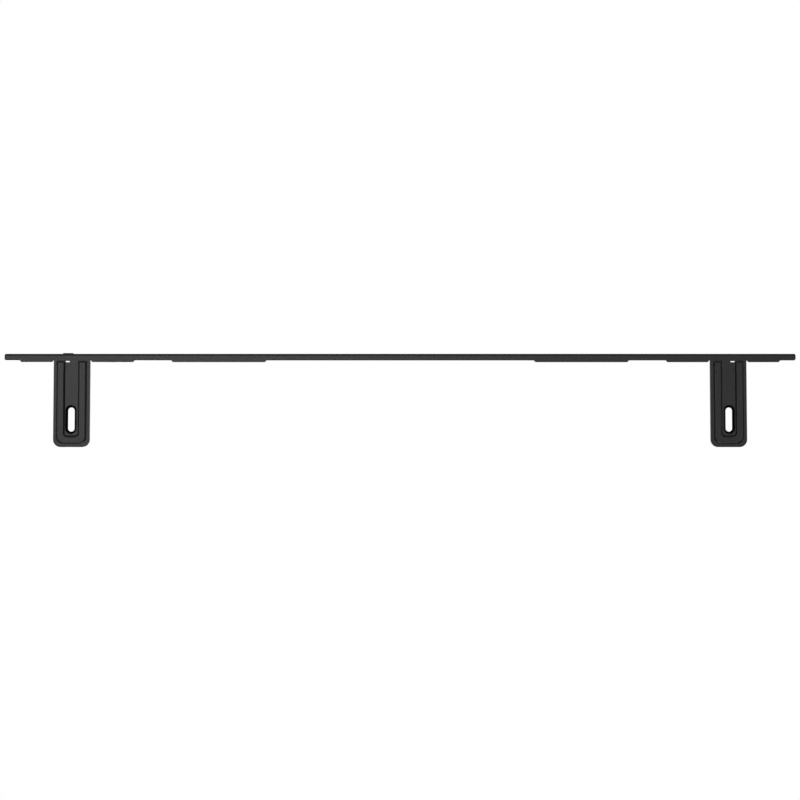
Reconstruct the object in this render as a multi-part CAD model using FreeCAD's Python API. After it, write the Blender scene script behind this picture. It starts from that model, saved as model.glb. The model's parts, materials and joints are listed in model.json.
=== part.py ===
"""Speaker wall bracket: one folded steel sheet and a small pad on its wall face.

The bar runs along X, the wall face lies on Y = 0 with the room at -Y, and Z is up.
The origin is the centre of the wall screw pattern on the wall face.
"""

import math
import os

import FreeCAD
import Part

# Sheet and bends
sheet = 2.5
bend_inner_radius = 0.6
edge_round = 1.1

# Bar: wall plate and bottom flange
bar_length = 791.2
plate_rise = 20.0
flange_drop = 30.0
plate_corner_radius = 8.0
flange_depth = 6.75
flange_corner_radius = 2.0

# Lips that stand out of the flange's front edge
lip_step = 1.75
lip_arm_gap = 0.6
outer_lip_length = 33.4
inner_lip_length = 43.5
middle_lip_length = 95.2
middle_lip_pitch = 362.5

# Arms under the speaker
arm_pitch = 655.8
arm_width = 36.3
arm_reach = 93.4
arm_corner_radius = 7.5

# U rib pressed downwards along each arm
rib_height = 2.2
rib_slope_run = 1.4
rib_end_run = 2.3
rib_side_rim = 3.1
rib_end_rim = 3.4
rib_root_gap = 0.3
rib_tip_radius = 7.0
rib_root_radius = 1.2
rib_crest_root_radius = 0.6
rib_edge_round = 0.5
channel_tip_radius = 2.8

# Countersunk slot for the speaker screw, open downwards
screw_clearance = 6.4
screw_head = 11.1
screw_slot_length = 24.0
screw_slot_from_tip = 27.5
screw_slot_outward_shift = 0.55
channel_side_clearance = 0.95
channel_end_clearance = 1.4

# Small window at the root of each channel
window_width = 4.4
window_depth = 1.15
window_outward_shift = 4.45
window_setback = 0.7

# Slots for the wall screws
wall_slot_width = 6.5
wall_slot_length = 30.0
stud_pitch = 406.4

# Pad on the wall face, above one arm
pad_width = 9.9
pad_height = 4.0
pad_thickness = 0.8
pad_corner_radius = 1.0
pad_bend_gap = 0.4
pad_outward_shift = 5.0

# Places worked out from the sizes above
cut_margin = 1.0
bend_outer_radius = sheet + bend_inner_radius
flange_bottom = -flange_drop
flange_top = flange_bottom + sheet
lip_depth = flange_depth + lip_step
half_bar = bar_length / 2
half_arm = arm_width / 2
arm_centres = (-arm_pitch / 2, arm_pitch / 2)

rib_angle = math.atan2(rib_height, rib_slope_run)
hollow_shift = sheet * math.tan(rib_angle / 2)
countersink_run = (screw_head - screw_clearance) / 2
screw_slot_depth = arm_reach - screw_slot_from_tip
channel_half = screw_head / 2 + channel_side_clearance
screw_slot_end = screw_slot_depth + screw_slot_length / 2
channel_end = screw_slot_end + countersink_run + channel_end_clearance


def point(x, y, z=0.0):
    return FreeCAD.Vector(x, y, z)


def prism(wire, height):
    return Part.Face(wire).extrude(point(0, 0, height))


def corner_arc(corner, before, after, radius):
    """The start, the arc and the end that round a square corner between two points."""
    start = corner + (before - corner).normalize() * radius
    end = corner + (after - corner).normalize() * radius
    centre = start + end - corner
    middle = centre + (corner - centre).normalize() * radius
    return start, Part.Arc(start, middle, end), end


def rounded_wire(corners, radii):
    """A closed wire through square corners, each rounded by its own radius."""
    count = len(corners)
    arcs = []
    for index, corner in enumerate(corners):
        before = corners[index - 1]
        after = corners[(index + 1) % count]
        arcs.append(corner_arc(corner, before, after, radii[index]))
    edges = []
    for index, (start, arc, end) in enumerate(arcs):
        edges.append(arc.toShape())
        following = arcs[(index + 1) % count][0]
        edges.append(Part.LineSegment(end, following).toShape())
    return Part.Wire(edges)


def tongue_wire(x, half_width, root, tip, root_radius, tip_radius, z):
    """A rounded rectangle in plan, from one depth off the wall to another."""
    corners = [
        point(x - half_width, -root, z),
        point(x + half_width, -root, z),
        point(x + half_width, -tip, z),
        point(x - half_width, -tip, z),
    ]
    return rounded_wire(corners, [root_radius, root_radius, tip_radius, tip_radius])


def slot_wire(centre, along, across, length, width):
    """An obround about a centre, with its length on one axis and its width on another."""
    radius = width / 2
    straight = length / 2 - radius
    near_left = centre - along * straight + across * radius
    near_right = centre - along * straight - across * radius
    far_left = centre + along * straight + across * radius
    far_right = centre + along * straight - across * radius
    edges = [
        Part.LineSegment(near_left, far_left).toShape(),
        Part.Arc(far_left, centre + along * (length / 2), far_right).toShape(),
        Part.LineSegment(far_right, near_right).toShape(),
        Part.Arc(near_right, centre - along * (length / 2), near_left).toShape(),
    ]
    return Part.Wire(edges)


def make_bar():
    """The bent L section along the whole bar, with rounded plate and flange corners."""
    y_axis = point(0, 1, 0)
    z_axis = point(0, 0, 1)
    start = -half_bar
    outer_centre = point(start, -bend_outer_radius, flange_bottom + bend_outer_radius)
    outer_middle = outer_centre + (y_axis - z_axis).normalize() * bend_outer_radius
    inner_middle = outer_centre + (y_axis - z_axis).normalize() * bend_inner_radius
    top_back = point(start, 0, plate_rise)
    bend_back = outer_centre + y_axis * bend_outer_radius
    bend_low = outer_centre - z_axis * bend_outer_radius
    front_low = point(start, -flange_depth, flange_bottom)
    front_top = point(start, -flange_depth, flange_top)
    inner_low = outer_centre - z_axis * bend_inner_radius
    inner_front = outer_centre + y_axis * bend_inner_radius
    top_front = point(start, -sheet, plate_rise)
    section = Part.Wire([
        Part.LineSegment(top_back, bend_back).toShape(),
        Part.Arc(bend_back, outer_middle, bend_low).toShape(),
        Part.LineSegment(bend_low, front_low).toShape(),
        Part.LineSegment(front_low, front_top).toShape(),
        Part.LineSegment(front_top, inner_low).toShape(),
        Part.Arc(inner_low, inner_middle, inner_front).toShape(),
        Part.LineSegment(inner_front, top_front).toShape(),
        Part.LineSegment(top_front, top_back).toShape(),
    ])
    bar = Part.Face(section).extrude(point(bar_length, 0, 0))
    bar = bar.makeFillet(plate_corner_radius, plate_corner_edges(bar))
    bar = bar.makeFillet(flange_corner_radius, flange_corner_edges(bar))
    return bar.makeFillet(edge_round, front_low_edges(bar))


def plate_corner_edges(bar):
    """The two edges across the sheet at the plate's upper corners."""
    found = []
    for edge in bar.Edges:
        box = edge.BoundBox
        at_end = abs(abs(box.Center.x) - half_bar) < 1e-6
        if at_end and abs(box.ZMin - plate_rise) < 1e-6:
            found.append(edge)
    return found


def flange_corner_edges(bar):
    """The two upright edges at the flange's front corners."""
    found = []
    for edge in bar.Edges:
        box = edge.BoundBox
        at_end = abs(abs(box.Center.x) - half_bar) < 1e-6
        if at_end and abs(box.YMax + flange_depth) < 1e-6:
            found.append(edge)
    return found


def front_low_edges(bar):
    """The long edge under the flange's front face."""
    found = []
    for edge in bar.Edges:
        box = edge.BoundBox
        at_front = abs(box.YMax + flange_depth) < 1e-6
        if at_front and abs(box.ZMax - flange_bottom) < 1e-6:
            found.append(edge)
    return found


def make_lip(inner_base, outer_base, side):
    """A lip on the flange's front edge, with 45 degree ends, on one side of the middle."""
    root = bend_outer_radius
    corners = [
        point(side * inner_base, -root, flange_bottom),
        point(side * inner_base, -flange_depth, flange_bottom),
        point(side * (inner_base + lip_step), -lip_depth, flange_bottom),
        point(side * (outer_base - lip_step), -lip_depth, flange_bottom),
        point(side * outer_base, -flange_depth, flange_bottom),
        point(side * outer_base, -root, flange_bottom),
    ]
    return prism(Part.makePolygon(corners + corners[:1]), sheet)


def make_lips(side):
    arm_centre = arm_pitch / 2
    middle = middle_lip_pitch / 2
    outer_start = arm_centre + half_arm + lip_arm_gap
    inner_end = arm_centre - half_arm - lip_arm_gap
    return [
        make_lip(outer_start, outer_start + outer_lip_length, side),
        make_lip(inner_end - inner_lip_length, inner_end, side),
        make_lip(middle - middle_lip_length / 2, middle + middle_lip_length / 2, side),
    ]


def make_arm(x):
    """The flat tongue of one arm, from the bend to its rounded tip."""
    root = bend_outer_radius
    left_root = point(x - half_arm, -root, flange_bottom)
    right_root = point(x + half_arm, -root, flange_bottom)
    right_tip = point(x + half_arm, -arm_reach, flange_bottom)
    left_tip = point(x - half_arm, -arm_reach, flange_bottom)
    right_start, right_arc, right_end = corner_arc(right_tip, right_root, left_tip, arm_corner_radius)
    left_start, left_arc, left_end = corner_arc(left_tip, right_tip, left_root, arm_corner_radius)
    outline = Part.Wire([
        Part.LineSegment(left_root, right_root).toShape(),
        Part.LineSegment(right_root, right_start).toShape(),
        right_arc.toShape(),
        Part.LineSegment(right_end, left_start).toShape(),
        left_arc.toShape(),
        Part.LineSegment(left_end, left_root).toShape(),
    ])
    return prism(outline, sheet)


def drafted(low_wire, high_wire):
    return Part.makeLoft([low_wire, high_wire], True, True)


def u_form(x, grow, base_z, height):
    """The U in plan as a drafted form: full width at the base, narrower by the slope at its top.

    grow widens the whole U on each side, and height is negative for a form that points down.
    The walls that face the bar slope more gently than the others.
    """
    run = rib_slope_run
    half = half_arm - rib_side_rim + grow
    root = flange_depth + rib_root_gap - grow
    tip = arm_reach - rib_end_rim + grow
    top_z = base_z + height
    outside = drafted(
        tongue_wire(x, half, root, tip, rib_root_radius, rib_tip_radius + grow, base_z),
        tongue_wire(
            x, half - run, root + rib_end_run, tip - run,
            rib_crest_root_radius, rib_tip_radius + grow - run, top_z,
        ),
    )
    reach = root - channel_tip_radius + grow - cut_margin
    inside = drafted(
        tongue_wire(
            x, channel_half - grow, reach, channel_end - grow,
            channel_tip_radius - grow, channel_tip_radius - grow, base_z,
        ),
        tongue_wire(
            x, channel_half - grow + run, reach - run, channel_end - grow + rib_end_run,
            channel_tip_radius - grow + run, channel_tip_radius - grow + run, top_z,
        ),
    )
    form = outside.cut(inside)
    return form.makeFillet(rib_edge_round, level_edges(form, top_z))


def level_edges(shape, z):
    """The edges of a shape that lie flat at one height."""
    found = []
    for edge in shape.Edges:
        box = edge.BoundBox
        if abs(box.ZMin - z) < 1e-6 and abs(box.ZMax - z) < 1e-6:
            found.append(edge)
    return found


def make_rib(x):
    return u_form(x, 0.0, flange_bottom, -rib_height)


def make_rib_hollow(x):
    """The groove that the pressed rib leaves in the arm's upper face, one sheet from the rib."""
    return u_form(x, -hollow_shift, flange_top, -rib_height)


def make_screw_slot(x):
    """The slot along the arm and its countersink, which opens downwards."""
    along = point(0, 1, 0)
    across = point(1, 0, 0)
    centre_x = x + math.copysign(screw_slot_outward_shift, x)
    low = flange_bottom - cut_margin
    throat = prism(
        slot_wire(point(centre_x, -screw_slot_depth, low), along, across, screw_slot_length, screw_clearance),
        sheet + 2 * cut_margin,
    )
    mouth = slot_wire(
        point(centre_x, -screw_slot_depth, flange_bottom), along, across,
        screw_slot_length + 2 * countersink_run, screw_head,
    )
    floor = slot_wire(
        point(centre_x, -screw_slot_depth, flange_bottom + countersink_run), along, across,
        screw_slot_length, screw_clearance,
    )
    return throat.fuse(drafted(mouth, floor))


def make_window(x):
    """The window at the channel's root, on the side of the arm that faces the bar's end."""
    outward = math.copysign(1.0, x)
    low_x = x + outward * window_outward_shift - window_width / 2
    near = flange_depth + window_setback
    low_y = -near - window_depth
    height = sheet + rib_height + 2 * cut_margin
    corner = point(low_x, low_y, flange_bottom - rib_height - cut_margin)
    return Part.makeBox(window_width, window_depth, height, corner)


def make_wall_slot(x):
    wire = slot_wire(
        point(x, cut_margin, 0), point(1, 0, 0), point(0, 0, 1), wall_slot_length, wall_slot_width,
    )
    return Part.Face(wire).extrude(point(0, -sheet - 2 * cut_margin, 0))


def make_bracket():
    pieces = []
    cuts = []
    for x in arm_centres:
        pieces += make_lips(math.copysign(1.0, x))
        pieces.append(make_arm(x))
        pieces.append(make_rib(x))
        cuts.append(make_rib_hollow(x))
        cuts.append(make_screw_slot(x))
        cuts.append(make_window(x))
        cuts.append(make_wall_slot(x))
        cuts.append(make_wall_slot(math.copysign(stud_pitch / 2, x)))
    bracket = make_bar().fuse(pieces).removeSplitter()
    return bracket.cut(cuts).removeSplitter()


def make_wall_pad():
    """A thin pad on the wall face, just above the bend."""
    centre_x = arm_pitch / 2 + pad_outward_shift
    half = pad_width / 2
    low = flange_bottom + bend_outer_radius + pad_bend_gap
    corners = [
        point(centre_x - half, 0, low),
        point(centre_x + half, 0, low),
        point(centre_x + half, 0, low + pad_height),
        point(centre_x - half, 0, low + pad_height),
    ]
    outline = rounded_wire(corners, [pad_corner_radius] * 4)
    return Part.Face(outline).extrude(point(0, pad_thickness, 0))


def single_solid(shape):
    solids = shape.Solids
    if len(solids) != 1:
        raise ValueError("a piece came out as %d solids" % len(solids))
    return solids[0]


os.makedirs("parts", exist_ok=True)
single_solid(make_bracket()).exportStep("parts/bracket.step")
single_solid(make_wall_pad()).exportStep("parts/wall_pad.step")
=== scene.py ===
import json
import math

import bmesh
import bpy
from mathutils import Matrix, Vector


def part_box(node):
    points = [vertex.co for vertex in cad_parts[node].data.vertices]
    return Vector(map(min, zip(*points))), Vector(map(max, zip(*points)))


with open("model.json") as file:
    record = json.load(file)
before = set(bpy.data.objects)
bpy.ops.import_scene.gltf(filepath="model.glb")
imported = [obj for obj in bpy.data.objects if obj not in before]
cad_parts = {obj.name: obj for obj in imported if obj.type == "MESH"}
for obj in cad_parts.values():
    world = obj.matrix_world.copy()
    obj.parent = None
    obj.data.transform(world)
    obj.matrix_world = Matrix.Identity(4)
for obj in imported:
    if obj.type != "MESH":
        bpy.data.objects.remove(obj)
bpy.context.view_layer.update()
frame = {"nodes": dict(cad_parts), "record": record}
bracket = frame["nodes"]["bracket"]
wallPad = frame["nodes"]["wall_pad"]
print("frame loaded:", sorted(frame["nodes"]))

millimetre = 0.001
noiseSpan = (0.3, 0.7)    # where most of a noise's values lie


# small helpers for node trees
def addNode(tree, kind, **settings):
    node = tree.nodes.new(kind)
    for key, value in settings.items():
        setattr(node, key, value)
    return node


def startMaterial(name):
    material = bpy.data.materials.new(name)
    material.use_nodes = True
    tree = material.node_tree
    shader = tree.nodes["Principled BSDF"]
    place = addNode(tree, "ShaderNodeTexCoord")
    return material, tree, shader, place


def addNoise(tree, place, scale, detail):
    noise = addNode(tree, "ShaderNodeTexNoise")
    noise.inputs["Scale"].default_value = scale
    noise.inputs["Detail"].default_value = detail
    tree.links.new(place.outputs["Object"], noise.inputs["Vector"])
    return noise.outputs["Fac"]


def addRange(tree, value, low, high, toLow, toHigh):
    mapped = addNode(tree, "ShaderNodeMapRange")
    mapped.inputs["From Min"].default_value = low
    mapped.inputs["From Max"].default_value = high
    mapped.inputs["To Min"].default_value = toLow
    mapped.inputs["To Max"].default_value = toHigh
    tree.links.new(value, mapped.inputs["Value"])
    return mapped.outputs["Result"]


def addColourMix(tree, factor, first, second):
    mix = addNode(tree, "ShaderNodeMix", data_type="RGBA")
    for socket, colour in ((mix.inputs["A"], first), (mix.inputs["B"], second)):
        if isinstance(colour, bpy.types.NodeSocket):
            tree.links.new(colour, socket)
        else:
            socket.default_value = (*colour, 1.0)
    tree.links.new(factor, mix.inputs["Factor"])
    return mix.outputs["Result"]


def addMath(tree, operation, first, second=0.0):
    node = addNode(tree, "ShaderNodeMath", operation=operation)
    for socket, value in zip(node.inputs, (first, second)):
        if isinstance(value, bpy.types.NodeSocket):
            tree.links.new(value, socket)
        else:
            socket.default_value = value
    return node.outputs["Value"]


def addBump(tree, height, strength, distance, normal=None):
    bump = addNode(tree, "ShaderNodeBump")
    bump.inputs["Strength"].default_value = strength
    bump.inputs["Distance"].default_value = distance
    tree.links.new(height, bump.inputs["Height"])
    if normal:
        tree.links.new(normal, bump.inputs["Normal"])
    return bump.outputs["Normal"]


coat = {
    "deep": (0.0042, 0.0042, 0.0043),
    "pale": (0.0068, 0.0068, 0.0069),
    "worn": (0.022, 0.022, 0.022),
    "cut": (0.0016, 0.0016, 0.0016),      # countersunk faces, painted near black: painted shade
    "cloudScale": 34.0,                   # drift of tone along the bar
    "peelScale": 950.0,                   # orange peel, about a millimetre a bump
    "peelBump": (0.30, 0.00010),          # strength and depth
    "grainScale": 4200.0,                 # powder grain
    "grainBump": (0.35, 0.00003),
    "edgeRadius": 0.0006,
    "edgeTurn": (0.995, 0.8),             # cosine of the turn where wear starts and is full
    "rubSpan": (0.45, 0.75),              # peel tops that lose their colour at an edge
    "rubMost": 0.6,
    "roughSpan": (0.25, 0.75),
    "roughLow": 0.27,
    "roughHigh": 0.33,
    "roughCut": 0.16,
    "metalCut": 0.85,                     # metallic that darkens the countersinks: painted shade
    "mouthRadius": 0.0056,                # half the width of a countersink
    "cutDepth": 0.95 * 0.0025,            # just short of the sheet's thickness
}


def edgeMask(tree, rounded):
    # compares the rounded normal with the true one
    true = addNode(tree, "ShaderNodeNewGeometry")
    dot = addNode(tree, "ShaderNodeVectorMath", operation="DOT_PRODUCT")
    tree.links.new(rounded, dot.inputs[0])
    tree.links.new(true.outputs["Normal"], dot.inputs[1])
    return addRange(tree, dot.outputs["Value"], *coat["edgeTurn"], 0.0, 1.0)


def countersinkMask(tree, place):
    # one inside the mouth of either arm slot, below the arm's upper face, where the countersinks get
    # painted shade
    mount = next(m for m in frame["record"]["mounts"] if m["name"] == "speaker_slot_right")
    slotX, slotY, underside = mount["pos_m"]
    straight = (mount["dims"]["slot_length_mm"] / 2 - mount["dims"]["hole_r_mm"]) * millimetre
    axes = addNode(tree, "ShaderNodeSeparateXYZ")
    tree.links.new(place.outputs["Object"], axes.inputs["Vector"])
    across = addMath(tree, "SUBTRACT", addMath(tree, "ABSOLUTE", axes.outputs["X"]), slotX)
    fromMiddle = addMath(tree, "ABSOLUTE", addMath(tree, "SUBTRACT", axes.outputs["Y"], slotY))
    along = addMath(tree, "MAXIMUM", addMath(tree, "SUBTRACT", fromMiddle, straight), 0.0)
    acrossSquare = addMath(tree, "MULTIPLY", across, across)
    alongSquare = addMath(tree, "MULTIPLY", along, along)
    squares = addMath(tree, "ADD", acrossSquare, alongSquare)
    inside = addMath(tree, "LESS_THAN", addMath(tree, "SQRT", squares), coat["mouthRadius"])
    below = addMath(tree, "LESS_THAN", axes.outputs["Z"], underside + coat["cutDepth"])
    return addMath(tree, "MULTIPLY", inside, below)


def makePowderCoat():
    material, tree, shader, place = startMaterial("satinPowderCoat")
    cloud = addNoise(tree, place, coat["cloudScale"], detail=4.0)
    peel = addNoise(tree, place, coat["peelScale"], detail=2.0)
    grain = addNoise(tree, place, coat["grainScale"], detail=1.0)
    rounded = addNode(tree, "ShaderNodeBevel", samples=8)
    rounded.inputs["Radius"].default_value = coat["edgeRadius"]
    cut = countersinkMask(tree, place)
    drift = addRange(tree, cloud, *noiseSpan, 0.0, 1.0)
    tone = addColourMix(tree, drift, coat["deep"], coat["pale"])
    peelTops = addRange(tree, peel, *coat["rubSpan"], 0.0, coat["rubMost"])
    rubbed = addMath(tree, "MULTIPLY", edgeMask(tree, rounded.outputs["Normal"]), peelTops)
    tone = addColourMix(tree, rubbed, tone, coat["worn"])
    # the countersinks are painted near black here: painted shade in the recess
    tree.links.new(addColourMix(tree, cut, tone, coat["cut"]), shader.inputs["Base Color"])
    rough = addRange(tree, cloud, *coat["roughSpan"], coat["roughLow"], coat["roughHigh"])
    flatten = addMath(tree, "MULTIPLY", cut, addMath(tree, "SUBTRACT", coat["roughCut"], rough))
    tree.links.new(addMath(tree, "ADD", rough, flatten), shader.inputs["Roughness"])
    # metallic in the countersinks darkens them further: painted shade
    tree.links.new(addMath(tree, "MULTIPLY", cut, coat["metalCut"]), shader.inputs["Metallic"])
    peelNormal = addBump(tree, peel, *coat["peelBump"], rounded.outputs["Normal"])
    tree.links.new(addBump(tree, grain, *coat["grainBump"], peelNormal), shader.inputs["Normal"])
    return material


rubber = {
    "deep": (0.006, 0.006, 0.006),
    "pale": (0.013, 0.013, 0.013),
    "grainScale": 2600.0,
    "grainBump": (0.25, 0.00006),
    "roughLow": 0.70,
    "roughHigh": 0.88,
    "gloss": 0.3,
}


def makeRubber():
    material, tree, shader, place = startMaterial("padRubber")
    grain = addNoise(tree, place, rubber["grainScale"], detail=3.0)
    speckle = addRange(tree, grain, *noiseSpan, 0.0, 1.0)
    tone = addColourMix(tree, speckle, rubber["deep"], rubber["pale"])
    tree.links.new(tone, shader.inputs["Base Color"])
    rough = addRange(tree, grain, *noiseSpan, rubber["roughLow"], rubber["roughHigh"])
    tree.links.new(rough, shader.inputs["Roughness"])
    tree.links.new(addBump(tree, grain, *rubber["grainBump"]), shader.inputs["Normal"])
    shader.inputs["Specular IOR Level"].default_value = rubber["gloss"]
    return material


def dress(piece, material):
    piece.data.materials.clear()
    piece.data.materials.append(material)


dress(bracket, makePowderCoat())
dress(wallPad, makeRubber())
print("finishes set")


studio = {
    "floorDrop": 1.70,        # below the wall screws
    "floorSize": 400.0,
    "floorTone": (0.80, 0.80, 0.80),
    "floorCloudScale": 1.5,
    "floorRough": (0.75, 0.85),
    "ambient": 0.38,
    "sky": [                  # degrees up and tone, from the floor's own grey to white overhead
        (0.0, 0.31),
        (25.0, 0.28),
        (57.0, 0.28),
        (66.0, 1.0),
    ],
}


def makeFloor():
    mesh = bpy.data.meshes.new("studioFloor")
    bm = bmesh.new()
    bmesh.ops.create_grid(bm, x_segments=1, y_segments=1, size=studio["floorSize"] / 2)
    bmesh.ops.translate(bm, verts=bm.verts, vec=(0, 0, -studio["floorDrop"]))
    bm.to_mesh(mesh)
    bm.free()
    floor = bpy.data.objects.new("studioFloor", mesh)
    bpy.context.scene.collection.objects.link(floor)
    material, tree, shader, place = startMaterial("paleFloor")
    cloud = addNoise(tree, place, studio["floorCloudScale"], detail=3.0)
    shader.inputs["Base Color"].default_value = (*studio["floorTone"], 1.0)
    rough = addRange(tree, cloud, *noiseSpan, *studio["floorRough"])
    tree.links.new(rough, shader.inputs["Roughness"])
    dress(floor, material)


def makeWorld():
    world = bpy.data.worlds.new("studioWorld")
    bpy.context.scene.world = world
    world.use_nodes = True
    tree = world.node_tree
    ambient = tree.nodes["Background"]
    ambient.inputs["Color"].default_value = (1, 1, 1, 1)
    ambient.inputs["Strength"].default_value = studio["ambient"]
    place = addNode(tree, "ShaderNodeTexCoord")
    axes = addNode(tree, "ShaderNodeSeparateXYZ")
    tree.links.new(place.outputs["Generated"], axes.inputs["Vector"])
    ramp = addNode(tree, "ShaderNodeValToRGB")
    stops = ramp.color_ramp.elements
    while len(stops) < len(studio["sky"]):
        stops.new(0.5)
    for stop, (rise, tone) in zip(stops, studio["sky"]):
        stop.position = math.sin(math.radians(rise))
        stop.color = (tone, tone, tone, 1.0)
    tree.links.new(axes.outputs["Z"], ramp.inputs["Fac"])
    backdrop = addNode(tree, "ShaderNodeBackground")
    tree.links.new(ramp.outputs["Color"], backdrop.inputs["Color"])
    path = addNode(tree, "ShaderNodeLightPath")
    seen = path.outputs["Is Camera Ray"]
    for name in ("Is Glossy Ray", "Is Transmission Ray"):
        seen = addMath(tree, "MAXIMUM", seen, path.outputs[name])
    mix = addNode(tree, "ShaderNodeMixShader")
    tree.links.new(seen, mix.inputs["Fac"])
    tree.links.new(ambient.outputs["Background"], mix.inputs[1])
    tree.links.new(backdrop.outputs["Background"], mix.inputs[2])
    tree.links.new(mix.outputs["Shader"], tree.nodes["World Output"].inputs["Surface"])


floorSoftbox = {
    "name": "floorSoftbox",
    "place": (0.55, 0.55, -0.75),
    "aim": (0.5, 0.35, -1.7),
    "size": 0.5,
    "power": 16.0,
}
topSoftbox = {
    "name": "topSoftbox",
    "place": (1.2, -1.0, 1.9),
    "aim": (0.0, 0.0, 0.0),
    "size": 1.6,
    "power": 38.0,
}
frontSoftbox = {
    "name": "frontSoftbox",
    "place": (0.0, -2.4, 1.05),
    "aim": (0.0, -0.1, 0.0),
    "size": 2.2,
    "power": 33.0,
}
lamps = [floorSoftbox, topSoftbox, frontSoftbox]


def makeLamp(lamp):
    data = bpy.data.lights.new(lamp["name"], "AREA")
    data.shape = "SQUARE"
    data.size = lamp["size"]
    data.energy = lamp["power"]
    light = bpy.data.objects.new(lamp["name"], data)
    bpy.context.scene.collection.objects.link(light)
    light.location = lamp["place"]
    toAim = Vector(lamp["aim"]) - Vector(lamp["place"])
    light.rotation_mode = "QUATERNION"
    light.rotation_quaternion = toAim.to_track_quat("-Z", "Y")
    light.visible_camera = False


makeFloor()
makeWorld()
for lamp in lamps:
    makeLamp(lamp)
print("studio set:", len(lamps), "lamps")


shot = {
    "distance": 1.45,         # from the arms' underside
    "tilt": 2.45,             # degrees off straight up, with the camera on the room side
    "seenWidth": 0.79854,     # across the frame at the arms' underside
    "ribHeight": 0.0022,
    "aimSide": 0.0001,        # small shifts that centre the frame as in the photograph
    "aimBack": 0.00027,
    "sensor": 36.0,
}


def makeCamera():
    low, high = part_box("bracket")
    aim = Vector((shot["aimSide"], (low.y + high.y) / 2 + shot["aimBack"], low.z + shot["ribHeight"]))
    tilt = math.radians(shot["tilt"])
    ahead = Vector((0, math.sin(tilt), math.cos(tilt)))
    data = bpy.data.cameras.new("underCamera")
    data.sensor_width = shot["sensor"]
    data.lens = shot["sensor"] * shot["distance"] / shot["seenWidth"]
    camera = bpy.data.objects.new("underCamera", data)
    bpy.context.scene.collection.objects.link(camera)
    camera.location = aim - ahead * shot["distance"]
    camera.rotation_euler = (math.pi + tilt, 0, math.pi)
    bpy.context.scene.camera = camera


makeCamera()
bpy.context.scene.view_settings.view_transform = "Standard"
print("camera set")
